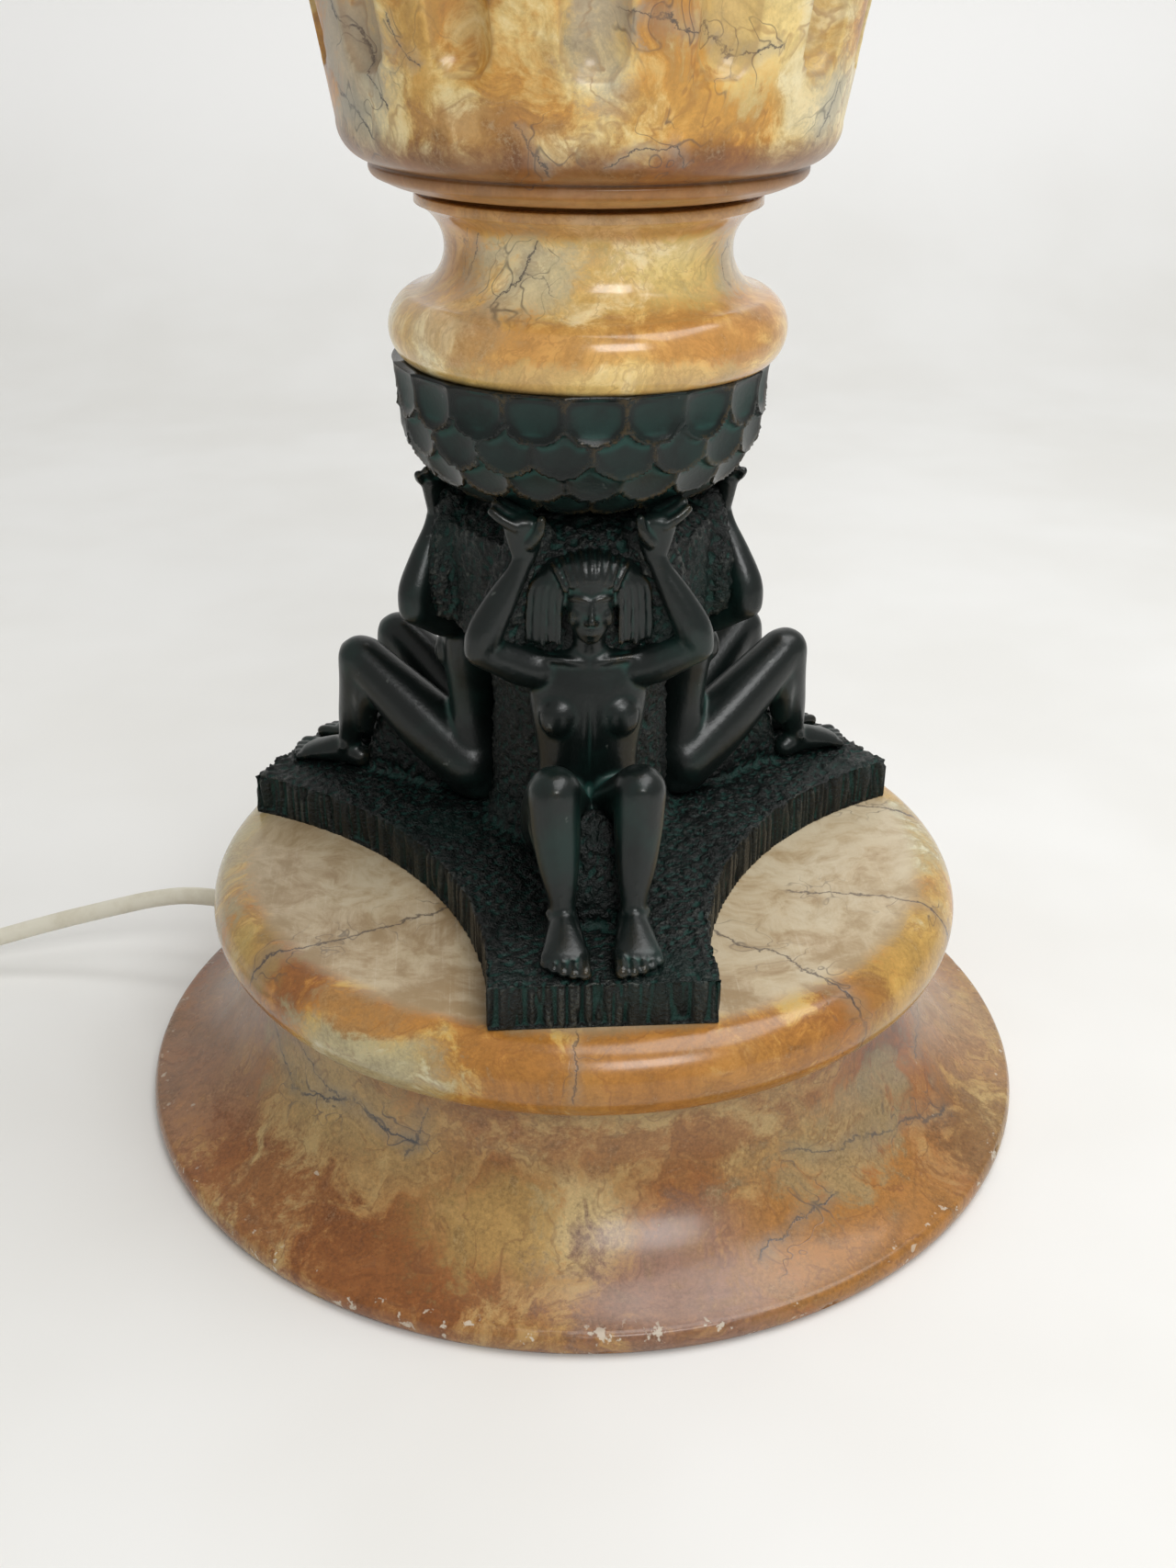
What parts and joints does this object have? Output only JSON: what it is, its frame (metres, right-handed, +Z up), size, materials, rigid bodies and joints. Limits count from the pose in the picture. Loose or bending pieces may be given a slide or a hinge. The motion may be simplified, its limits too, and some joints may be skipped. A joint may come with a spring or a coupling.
{
  "type": "table lamp",
  "caption": "Table lamp of turned onyx with a cast bronze group of seated figures that hold up a hammered bowl under a fluted urn, with a bayonet lampholder and a flex to a plug.",
  "frame": {"origin": "on the floor under the rod's axis, at the centre of the round foot", "axes": "+Z up along the rod, -Y towards the front arm of the bronze plinth, +X to the right seen from the front"},
  "size_m": [0.4239, 0.25, 0.488],
  "materials": {
    "stone": "polished amber and cream banded onyx with grey veins",
    "bronze": "dark patinated cast bronze with green in the hollows",
    "baize": "green baize",
    "steel": "zinc plated steel",
    "brass": "polished brass",
    "bakelite": "dark brown moulded phenolic",
    "porcelain": "white porcelain",
    "flex": "cream flexible sheath",
    "core": "insulated core",
    "tie": "black tie",
    "plug_white": "off-white moulded plastic"
  },
  "bodies": {
    "lamp": {"stone_foot": "stone", "stone_disc": "stone", "stone_knop": "stone", "stone_urn": "stone", "stone_cap": "stone", "bronze_plinth": "bronze", "figure_front": "bronze", "figure_left": "bronze", "figure_right": "bronze", "hammered_bowl": "bronze", "baize_pad": "baize", "centre_rod": "steel", "rod_washer": "steel", "rod_nut": "steel", "contact_spring_left": "steel", "contact_spring_right": "steel", "vase_disc": "brass", "rod_locknut": "brass", "holder_cap": "brass", "holder_barrel": "brass", "shade_ring": "brass", "plug_pins": "brass", "plug_screw": "brass", "switch_housing": "bakelite", "contact_block": "porcelain", "inner_flex": "flex", "cord_lead": "flex", "cord_coil": "flex", "cord_tail": "flex", "cord_bush": "flex", "flex_cores": "core", "cord_tie": "tie", "plug_cover": "plug_white", "plug_base": "plug_white"},
    "switch": {"switch_bar": "bakelite"},
    "plunger_left": {"contact_left": "brass"},
    "plunger_right": {"contact_right": "brass"}
  },
  "joints": [
    {"name": "switch_slide", "type": "slide", "parent": "lamp", "child": "switch", "axis": [-1, 0, 0], "range_m": [0, 0.006]},
    {"name": "contact_left_press", "type": "slide", "parent": "lamp", "child": "plunger_left", "axis": [0, 0, -1], "range_m": [0, 0.003], "stiffness_N_per_m": 600, "deforming": ["contact_spring_left"]},
    {"name": "contact_right_press", "type": "slide", "parent": "lamp", "child": "plunger_right", "axis": [0, 0, -1], "range_m": [0, 0.003], "stiffness_N_per_m": 600, "deforming": ["contact_spring_right"]}
  ]
}
